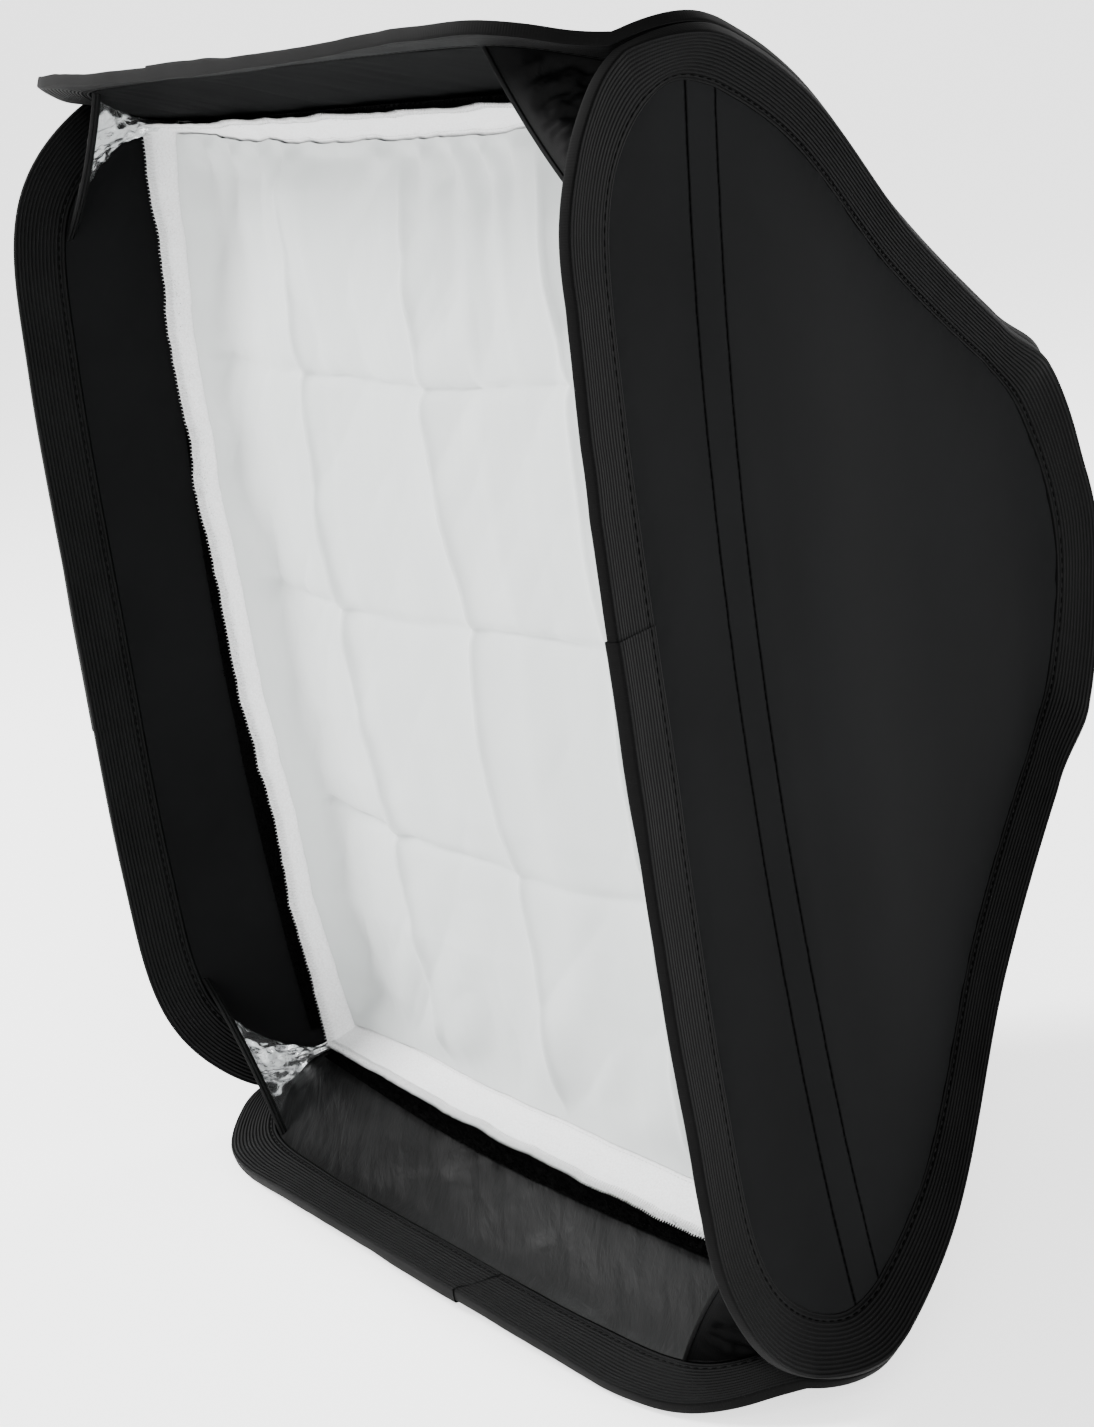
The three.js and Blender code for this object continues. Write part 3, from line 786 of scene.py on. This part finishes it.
def row_groove(u, y):
    """Dents along the two stitch rows of the loop tape, and the tape's own thickness between them."""
    across = (y - tape_line(u)) / math.cos(TAPE_SLOPE)
    raised = 0.12 * (smoothstep(across, -13, -10) - smoothstep(across, 10, 13))
    total = raised * (1 + 0.5 * value_noise(u / 9.0, y / 12.0, 77))
    for row in (-TAPE_ROW, TAPE_ROW):
        total = total - 0.16 * np.exp(-(((across - row) / 1.0) ** 2))
        total = total + 0.12 * np.exp(-(((across - row) / 5.0) ** 2)) * value_noise(u / 4.5, y / 7.0, 78)
    return total


def skin_height(u, y, seed):
    near = np.exp(-edge_distance(u, y) / 8.0)
    pucker = 0.32 * near * fractal(u / 7.0 + y / 9.0, y / 8.0 - u / 11.0, seed, 2)
    slack = 0.35 * fractal(u / 130.0, y / 110.0, seed + 3, 2) * (1 - near)
    drag = 0.2 * ridged((u + y) / 40.0, (u - y) / 140.0, seed + 6, 2) * np.exp(-edge_distance(u, y) / 40.0)
    return 0.6 + pucker + slack + drag


def make_skin(side, seed):
    rows = panel_rows(-FRONT_DEPTH + 0.2, -NOSE_DEPTH - 0.4, 420)
    u, y = panel_grid(rows, 170, -0.8)
    normal = surface_normal(u, y)
    offset = skin_height(u, y, seed) + row_groove(u, y)
    flat = surface(u, y)
    grid = flat + normal * offset[..., None]
    uv = np.stack([u, y], -1)
    skin = layer(f"skin_panel_{side}", grid, normal, side, "skin", f"panel_{side}", [f"skin_{side}"], uv)
    for row, shift in (("front", -TAPE_ROW), ("rear", TAPE_ROW)):
        line_u = np.linspace(-1, 1, 500) * (half_width(np.array(-LOOP_DEPTH)) - 1.5)
        line_y = tape_line(line_u) + shift * math.cos(TAPE_SLOPE)
        line_n = surface_normal(line_u, line_y)
        lift = skin_height(line_u, line_y, seed) + row_groove(line_u, line_y)
        at = surface(line_u, line_y) + line_n * (lift + 0.12)[:, None]
        seam = stitches(
            f"tape_stitch_{side}_{row}", turned(at, side), turned(line_n, side), MAT["thread"],
            pitch=TAPE_STITCH_PITCH, length=3.1,
        )
        finish_piece(seam, f"panel_{side}")


def make_lip(side, seed):
    """The black facing, between the front arc of the stitch line and the loop tape, with creases on the bias."""
    cols = np.linspace(-1, 1, 220)
    front_u, front_y = panel_front(cols)
    back_u = cols * (half_width(-LOOP_DEPTH + 10 + 0 * cols) - 4)
    back_y = tape_line(back_u) + 11
    t = np.linspace(0, 1, 70)[:, None]
    y = front_y[None] * (1 - t) + back_y[None] * t
    u = front_u[None] * (1 - t) + back_u[None] * t
    normal = surface_normal(u, y)
    flat = surface(u, y)
    lean = fractal(u / 300.0, y / 200.0, seed + 9, 2) * 0.6
    across, run = BIAS[0] * u - BIAS[1] * y, BIAS[1] * u + BIAS[0] * y
    pull = ridged(across / 24.0 + lean, run / 110.0, seed + 10, 3)
    fade = np.sin(np.pi * np.clip(t, 0.02, 0.98)) ** 0.6
    wrinkles = 1.6 * pull * fade + 1.1 * fractal(u / 60.0, y / 45.0, seed + 13, 3) * fade
    grid = flat - normal * (1.6 - 0.4 * wrinkles)[..., None]
    uv = np.stack([u, y], -1)
    # the bottom lip takes the darker copy of the lining's colour, painted shade
    look = "lip_bottom_shaded_copy" if side == "bottom" else "lip"
    lip = layer(f"lip_facing_{side}", grid, -normal, side, look, f"panel_{side}", [f"lip_{side}"], uv)


def make_lining(side, seed):
    rows = panel_rows(-LOOP_DEPTH + 8, -NOSE_DEPTH - 3, 120)
    u, y = panel_grid(rows, 110, 1.2)
    normal = surface_normal(u, y)
    flat = surface(u, y)
    crumple = 0.8 * fractal(u / 40.0, y / 40.0, seed + 15, 4) + 0.6 * ridged(u / 55.0, y / 70.0, seed + 17, 3)
    grid = flat - normal * (1.9 - 0.5 * crumple)[..., None]
    lining = layer(f"lining_panel_{side}", grid, -normal, side, "lining", f"panel_{side}", [f"lining_{side}"])


def make_panels():
    for number, side in enumerate(SIDES):
        seed = 100 + number * 20
        make_skin(side, seed)
        make_lip(side, seed)
        make_lining(side, seed)
        make_tape(side, seed)


def panel_front(cols):
    """The front arc of the stitch line, one point per column, from lobe to lobe."""
    last = int(np.argmax(IN_SEAM))
    length = OUT_S[last] - 6
    along = np.abs(cols) * length
    u = np.interp(along, OUT_S, OUT_U) - 0.6
    y = np.interp(along, OUT_S, OUT_Y) + 0.6
    return np.sign(cols) * np.maximum(u, 0), y


LOOP_ROWS, LOOP_HEIGHT, LOOP_WOBBLE = 13, 4.0, 0.25


def make_tape(side, seed):
    half = float(half_width(-LOOP_DEPTH)) - 12
    u = np.linspace(-half, half, 300)
    across = np.linspace(-0.5, 0.5, LOOP_ROWS)[:, None] * LOOP_WIDTH * math.cos(TAPE_SLOPE)
    y = tape_line(u)[None] + across + LOOP_WOBBLE * fractal(u / 34.0, u * 0 + 1.7, seed + 30, 3)[None]
    u = np.repeat(u[None], LOOP_ROWS, 0)
    normal = surface_normal(u, y)
    lift = LOOP_HEIGHT + 0.5 * LOOP_WOBBLE * fractal(u / 26.0, y / 30.0, seed + 32, 2)
    top = surface(u, y) - normal * lift[..., None]
    uv = np.stack([u, y], -1)
    loop = layer(f"loop_strip_{side}", top, -normal, side, "loop", f"panel_{side}", [f"loop_tape_{side}"], uv)
    make_nap(side, turned(top, side), turned(-normal, side), seed)


NAP_BLADES = 5200  # on each tape
NAP_SHARE = 0.4  # only this part of the tape shows in front of the hook tape
NAP_HEIGHTS, NAP_HALF_WIDTH = (1.4, 3.6), 0.22


def make_nap(side, base, up, seed):
    """Loose loops of the tape's nap in front of the hook tape, as thin blades."""
    rng = np.random.default_rng(seed)
    i = rng.uniform(1, base.shape[1] - 2, NAP_BLADES)
    j = rng.uniform(0, NAP_SHARE * (len(base) - 1), NAP_BLADES)
    i0, j0 = i.astype(int), j.astype(int)
    fi, fj = (i - i0)[:, None], (j - j0)[:, None]
    a = base[j0, i0] * (1 - fi) + base[j0, i0 + 1] * fi
    b = base[j0 + 1, i0] * (1 - fi) + base[j0 + 1, i0 + 1] * fi
    root = a * (1 - fj) + b * fj
    lean = rng.normal(0, 0.5, (NAP_BLADES, 3))
    tip = root + unit(up[j0, i0] + lean) * rng.uniform(*NAP_HEIGHTS, NAP_BLADES)[:, None]
    across = unit(np.cross(tip - root, rng.normal(0, 1, (NAP_BLADES, 3)))) * NAP_HALF_WIDTH
    verts = np.stack([root - across, root + across, tip], 1).reshape(-1, 3)
    faces = np.arange(3 * NAP_BLADES).reshape(-1, 3)
    nap = new_mesh(f"loop_nap_{side}", verts, faces, MAT["loop"], smooth=False)
    finish_piece(nap, f"panel_{side}")


# ---- diffuser

HOOK_HEIGHT = 5.4
HOOK_PEEL = 7.0  # the cloth pulls the tape's rear edge away from the panel
HOOK_FRONT_SHIFT, HOOK_BOW = 4, 11
HOOK_ROWS, HOOK_COLUMNS = 17, 460
# the row of the tape that the cloth starts from; on the left it is sewn along the middle and hides the rear half
CLOTH_ROW = {"top": -1, "right": -1, "bottom": -1, "left": 9}
HEM_ROW = -3
ASKEW = {"top_left": -11.0, "top_right": 0.0, "bottom_right": 0.0, "bottom_left": 2.0}  # laid on by hand
RAGGED = {"top": 1.9, "right": 0.9, "bottom": 0.9, "left": 1.7}  # waviness of each tape's front edge
SIDE_ENDS = {
    "top": ("top_left", "top_right"), "right": ("top_right", "bottom_right"),
    "bottom": ("bottom_right", "bottom_left"), "left": ("bottom_left", "top_left"),
}


def hook_strip(side):
    """Grid of one hook tape, from corner to corner; rows run from its front edge to its rear edge."""
    seed = 300 + 10 * list(SIDES).index(side)
    s = np.linspace(-1, 1, HOOK_COLUMNS)[None]
    t = np.linspace(0, 1, HOOK_ROWS)[:, None]
    first, last = (ASKEW[c] for c in SIDE_ENDS[side])
    free = 1 - s**8
    line = -LOOP_DEPTH - LOOP_WIDTH / 2 * math.cos(TAPE_SLOPE) + HOOK_SETBACK - HOOK_FRONT_SHIFT + HOOK_BOW * s**2
    line = line + first + (last - first) * smoothstep(s, -1, 1)
    ragged = RAGGED[side] * fractal(s * 9.0, s * 0 + 1.7, seed, 4) * free
    y = line + ragged * (1 - 0.5 * t) + t * HOOK_WIDTH * math.cos(TAPE_SLOPE)
    peel = HOOK_PEEL * t**2 * (0.75 + 0.35 * fractal(s * 3.0, s * 0 + 4.1, seed + 1, 3) * free)
    if side == "top":
        peel = peel + 2.6 * np.abs(fractal(s * 7.0, s * 0 + 8.3, seed + 4, 3)) * free * (0.4 + 0.6 * t)
    height = HOOK_HEIGHT + peel + 0.45 * fractal(s * 11.0, t * 1.5, seed + 2, 2) * free
    u = s * (seam_out(y) - height)
    normal = surface_normal(u, y)
    grid = surface(u, y) - normal * height[..., None]
    return grid, normal, np.stack([u, y], -1)


def make_diffuser():
    edges = {}
    for side in SIDES:
        grid, normal, uv = hook_strip(side)
        hook = layer(f"hook_strip_{side}", grid, -normal, side, "hook", "diffuser", [f"hook_tape_{side}"], uv)
        edges[side] = turned(grid[CLOTH_ROW[side]], side)
        outward = turned(unit(grid[0] - grid[2]), side)
        make_overlock(side, turned(grid[0], side), outward, turned(-normal[0], side))
        hem = grid[HEM_ROW] - normal[HEM_ROW] * 0.15
        row = stitches(
            f"hem_stitch_{side}", turned(hem, side), turned(-normal[HEM_ROW], side), MAT["white_thread"],
            pitch=3.4, length=2.5, width=0.3, height=0.22,
        )
        finish_piece(row, "diffuser")
    make_cloth(edges)


OVERLOCK_PITCH, OVERLOCK_RADIUS = 2.1, 0.3
OVERLOCK_OUT, OVERLOCK_IN = 1.1, 4.2  # how far each loop goes past the edge, and back from it


def make_overlock(side, edge, outward, up):
    """Overlock thread: a close zigzag of loops over the tape's cut edge."""
    along = arc_length(edge)
    s = np.arange(0, along[-1], OVERLOCK_PITCH / 2)
    centre, out, lift = sample(edge, along, s), unit(sample(outward, along, s)), unit(sample(up, along, s))
    tooth = np.where(np.arange(len(s)) % 2 == 0, 1.0, 0.0)[:, None]
    path = centre + out * (tooth * OVERLOCK_OUT - (1 - tooth) * OVERLOCK_IN) + lift * ((1 - tooth) * 0.9 + 0.25)
    run = np.array([p for a, b in zip(path[:-1], path[1:]) for p in (a, (a + b) / 2)])
    tangent = unit(np.gradient(run, axis=0))
    side_dir = unit(np.cross(tangent, np.repeat(lift, 2, 0)[: len(run)]))
    above = unit(np.cross(side_dir, tangent))
    ring = [math.radians(a) for a in (0, 90, 180, 270)]
    sections = np.stack([run + OVERLOCK_RADIUS * (side_dir * math.cos(a) + above * math.sin(a)) for a in ring], 1)
    thread = sweep(f"overlock_{side}", sections, MAT["white_thread"])
    finish_piece(thread, "diffuser")


CLOTH_SAMPLES = 281
CLOTH_UV = 500.0
CLOTH_SETBACK = 2.0
FOLDS = ((0.27, 1.0), (0.52, 0.8), (0.76, 1.0))  # place and strength of the creases, the same both ways
FOLD_SOFT, FOLD_SOFT_REACH = 4.2, 0.05
FOLD_CRISP, FOLD_CRISP_REACH = 4.4, 0.006
DIP, DIP_REACH = 9.0, 0.036  # the cloth falls behind its left edge
BILLOW, RIPPLES, TOP_GATHER, LEFT_GATHER, CORNER_DRAG = 6.0, 5.5, 3.8, 2.2, 3.0


def resample(curve):
    along = arc_length(curve)
    return sample(curve, along, np.linspace(0, along[-1], CLOTH_SAMPLES))


def make_cloth(edges):
    """The diffuser: a Coons patch between the hook tapes' rear edges, with fold creases and soft ripples."""
    bottom = resample(edges["bottom"][::-1])
    top = resample(edges["top"])
    left = resample(edges["left"])
    right = resample(edges["right"][::-1])
    corners = [(bottom, 0, left, 0), (bottom, -1, right, 0), (top, 0, left, -1), (top, -1, right, -1)]
    for a, i, b, j in corners:
        middle = (a[i] + b[j]) / 2
        shift_a, shift_b = middle - a[i], middle - b[j]
        fade = np.linspace(1, 0, CLOTH_SAMPLES)[:, None] ** 8
        a += shift_a * (fade if i == 0 else fade[::-1])
        b += shift_b * (fade if j == 0 else fade[::-1])
    s = np.linspace(0, 1, CLOTH_SAMPLES)[None, :, None]
    t = np.linspace(0, 1, CLOTH_SAMPLES)[:, None, None]
    patch = (
        bottom[None] * (1 - t) + top[None] * t + left[:, None] * (1 - s) + right[:, None] * s
        - bottom[0] * (1 - s) * (1 - t) - bottom[-1] * s * (1 - t) - top[0] * (1 - s) * t - top[-1] * s * t
    )
    flat = patch.copy()
    s2, t2 = np.broadcast_arrays(s[..., 0], t[..., 0])
    inside = np.minimum(np.minimum(s2, 1 - s2), np.minimum(t2, 1 - t2))
    hold = smoothstep(inside, 0, 0.05)
    creases = 0
    for k, (place, strength) in enumerate(FOLDS):
        bend_h = place + 0.006 * fractal(s2 * 5, s2 * 0 + k, 500 + k, 2)
        bend_v = place + 0.006 * fractal(t2 * 5, t2 * 0 + k + 9, 520 + k, 2)
        for value, bend, sign in ((t2, bend_h, 1), (s2, bend_v, -1)):
            gap = np.abs(value - bend)
            sharp = 0.7 + 0.5 * fractal(s2 * 3 + t2, t2 * 3 - s2, 525 + k, 2)
            crisp = FOLD_CRISP * sharp * np.exp(-gap / FOLD_CRISP_REACH)
            creases = creases + sign * strength * (FOLD_SOFT * np.exp(-gap / FOLD_SOFT_REACH) + crisp)
    billow = BILLOW * np.sin(np.pi * s2) * np.sin(np.pi * t2)
    soft = RIPPLES * fractal(s2 * 2.6, t2 * 2.6, 540, 3)
    gather = TOP_GATHER * np.sin(s2 * 70 + 4 * fractal(s2 * 4, t2 * 2, 560, 2)) * np.exp(-(1 - t2) / 0.07)
    side_gather = LEFT_GATHER * np.sin(t2 * 46 + 4 * fractal(s2 * 3, t2 * 5, 570, 2)) * np.exp(-s2 / 0.05)
    drag = CORNER_DRAG * ridged((s2 + t2) * 3.0, (s2 - t2) * 9.0, 580, 2) * np.exp(-inside / 0.25)
    sewn = smoothstep(inside, 0, 0.02)
    depth = hold * (creases + soft + drag) + billow + gather * sewn
    depth = depth + side_gather * sewn
    left = s2 / DIP_REACH
    depth = depth + DIP * left * np.exp(1 - left) * smoothstep(np.minimum(t2, 1 - t2), 0, 0.05)
    patch[..., 1] += depth - CLOTH_SETBACK
    uv = np.stack([s2, t2], -1) * CLOTH_UV
    towards = np.broadcast_to(np.array([0.0, -1.0, 0.0]), patch.shape)
    cloth = grid_piece("diffuser_sheet", patch, towards, MAT["cloth"], uv)
    finish_piece(cloth, "diffuser", ["diffuser_cloth"])


# ---- gussets

GUSSET_SIDE = {"top_right": "top", "bottom_right": "right", "bottom_left": "bottom", "top_left": "left"}
GUSSET_CELLS = 60  # each way
GUSSET_DIP = 5.0
GUSSET_GAP = 0.7  # between the foil and the black side
INWARD = np.array([-1, 0, -1]) / math.sqrt(2)


def lobe_line():
    """From the seam's front end forward along one lobe, just inside the stitch line."""
    start = OUT_S[int(np.argmax(IN_SEAM))]
    along = np.linspace(start, start - GUSSET_REACH, GUSSET_CELLS)
    p = sample(FIN_POINT, OUT_S, along) - unit(sample(FIN_DIR, OUT_S, along)) * 2.0
    n = surface_normal(p[:, 0], p[:, 1])
    return p - n * 1.2


def make_gussets():
    line = lobe_line()
    other = line[:, [2, 1, 0]]
    t = np.linspace(0, 1, GUSSET_CELLS)[None, :]
    gap = np.linalg.norm(line - other, axis=1)
    for number, (corner, side) in enumerate(GUSSET_SIDE.items()):
        seed = 700 + number * 13
        dip = (GUSSET_DIP * np.minimum(gap / 40, 1))[:, None] * 4 * t * (1 - t)
        base = line[:, None] * (1 - t[..., None]) + other[:, None] * t[..., None] + INWARD * dip[..., None]
        x, y = base[..., 1], base[..., 0] - base[..., 2]
        hold = smoothstep(np.minimum(t, 1 - t), 0, 0.12)
        crinkle = 1.9 * ridged(x / 24.0 + 0.3 * y / 20, y / 15.0, seed, 4)
        crinkle = crinkle + 1.2 * fractal(x / 9.0, y / 9.0, seed + 5, 3)
        free = 1 - smoothstep(np.linspace(0, 1, len(line)), 0.8, 0.97)[:, None]
        lift = crinkle * hold * (1.25 * free)
        inner = base + INWARD * lift[..., None]
        outer = base - INWARD * GUSSET_GAP + INWARD * lift[..., None] * 0.9
        foil = grid_piece(f"gusset_foil_{corner}", turned(inner, side), turned(INWARD + 0 * base, side), MAT["foil"])
        back = grid_piece(
            f"gusset_back_{corner}", turned(outer, side), turned(-INWARD + 0 * base, side), MAT["gusset_out"],
            np.stack([x, y], -1),
        )
        follow_corner(foil, side, 1, [f"gusset_{corner}"])
        follow_corner(back, side, 1, ())
        make_gusset_edge(corner, (inner[-1] + outer[-1]) / 2, side)


def make_gusset_edge(corner, edge, side):
    """Narrow tape folded over the gusset's free edge."""
    tangent = unit(np.gradient(edge, axis=0))
    forward = unit(np.cross(tangent, INWARD))
    forward *= np.where(forward[:, 1:2] > 0, -1, 1)
    full = closed_profile(GUSSET_TAPE_PROFILE)
    section = np.stack([edge + forward * w + INWARD * h for w, h in full], 1)
    uv = np.stack(np.broadcast_arrays(arc_length(edge)[:, None], np.array([w for w, _ in full])[None]), -1)
    obj = sweep(f"gusset_tape_{corner}", turned(section, side), MAT["binding"], uv)
    follow_corner(obj, side, 1, [f"gusset_edge_{corner}"])


# ---- stage


# radius and height of the floor's rings, in metres, and their corners
FLOOR_RINGS = [
    (0.0, 0.0), (1.0, 0.0), (2.0, 0.0), (3.5, 0.0), (5.0, 0.02), (6.0, 0.12), (7.0, 0.4), (8.0, 1.0), (9.0, 2.2),
]
FLOOR_CORNERS = 72
FLOOR_GAP = 0.001


def make_stage():
    """A pale floor just below the part, which curves up far away."""
    low = cad_box[0][2] - FLOOR_GAP
    a = np.linspace(0, 2 * math.pi, FLOOR_CORNERS, endpoint=False)
    grid = np.stack([
        np.stack([r * np.cos(a), r * np.sin(a), np.full(FLOOR_CORNERS, low + h)], -1) for r, h in FLOOR_RINGS
    ])
    points = grid.reshape(-1, 3) / MM
    faces = grid_faces(len(FLOOR_RINGS), FLOOR_CORNERS, wrap=True)
    faces = facing(points, faces, np.array([0, 0, 1.0]))
    m = Nodes("pale_floor")
    cloud = m.noise(1.5, 3.0, 0.5)
    m.base(m.ramp(cloud, 0.3, 0.7, (grey(0.86), grey(0.88))))
    m.rough(cloud, 0.75, 0.85)
    m.set(Specular_IOR_Level=0.2, Emission_Strength=1.6)
    m.shader.inputs["Emission Color"].default_value = (1, 1, 1, 1)
    floor = new_mesh("floor", points, faces, m.material)


BOX_MIDDLE = (0, -0.25, 0)


def area_light(name, place, size, power):
    light = bpy.data.lights.new(name, "AREA")
    light.shape = "RECTANGLE"
    light.size, light.size_y = size
    light.energy = power
    obj = bpy.data.objects.new(name, light)
    bpy.context.scene.collection.objects.link(obj)
    obj.location = place
    obj.rotation_euler = (Vector(BOX_MIDDLE) - Vector(place)).to_track_quat("-Z", "Y").to_euler()


def make_lights():
    world = bpy.data.worlds.new("studio")
    bpy.context.scene.world = world
    world.use_nodes = True
    world.node_tree.nodes["Background"].inputs["Color"].default_value = (1, 1, 1, 1)
    world.node_tree.nodes["Background"].inputs["Strength"].default_value = 0.9
    area_light("key", (-1.9, -2.1, 2.0), (1.2, 1.2), 260)
    area_light("side", (2.7, -1.3, 1.5), (1.4, 2.0), 70)
    area_light("rim", (-1.0, 2.4, 1.6), (1.5, 1.0), 30)


CAMERA_PLACE = (1.428, -1.050, 0.324)
CAMERA_TARGET = (0.013, -0.304, -0.039)
CAMERA_ROLL = math.radians(-8.86)
VERTICAL_VIEW = math.radians(24.8)
SENSOR_HEIGHT = 24.0


def make_camera():
    data = bpy.data.cameras.new("camera")
    data.sensor_fit = "VERTICAL"
    data.sensor_height = SENSOR_HEIGHT
    data.lens = SENSOR_HEIGHT / 2 / math.tan(VERTICAL_VIEW / 2)
    camera = bpy.data.objects.new("camera", data)
    bpy.context.scene.collection.objects.link(camera)
    look = (Vector(CAMERA_TARGET) - Vector(CAMERA_PLACE)).to_track_quat("-Z", "Y").to_matrix().to_4x4()
    camera.matrix_world = Matrix.Translation(CAMERA_PLACE) @ look @ Matrix.Rotation(CAMERA_ROLL, 4, "Z")
    bpy.context.scene.camera = camera


make_camera()
make_lights()
make_stage()
make_bindings()
make_allowances()
make_hoops()
make_panels()
make_diffuser()
make_gussets()
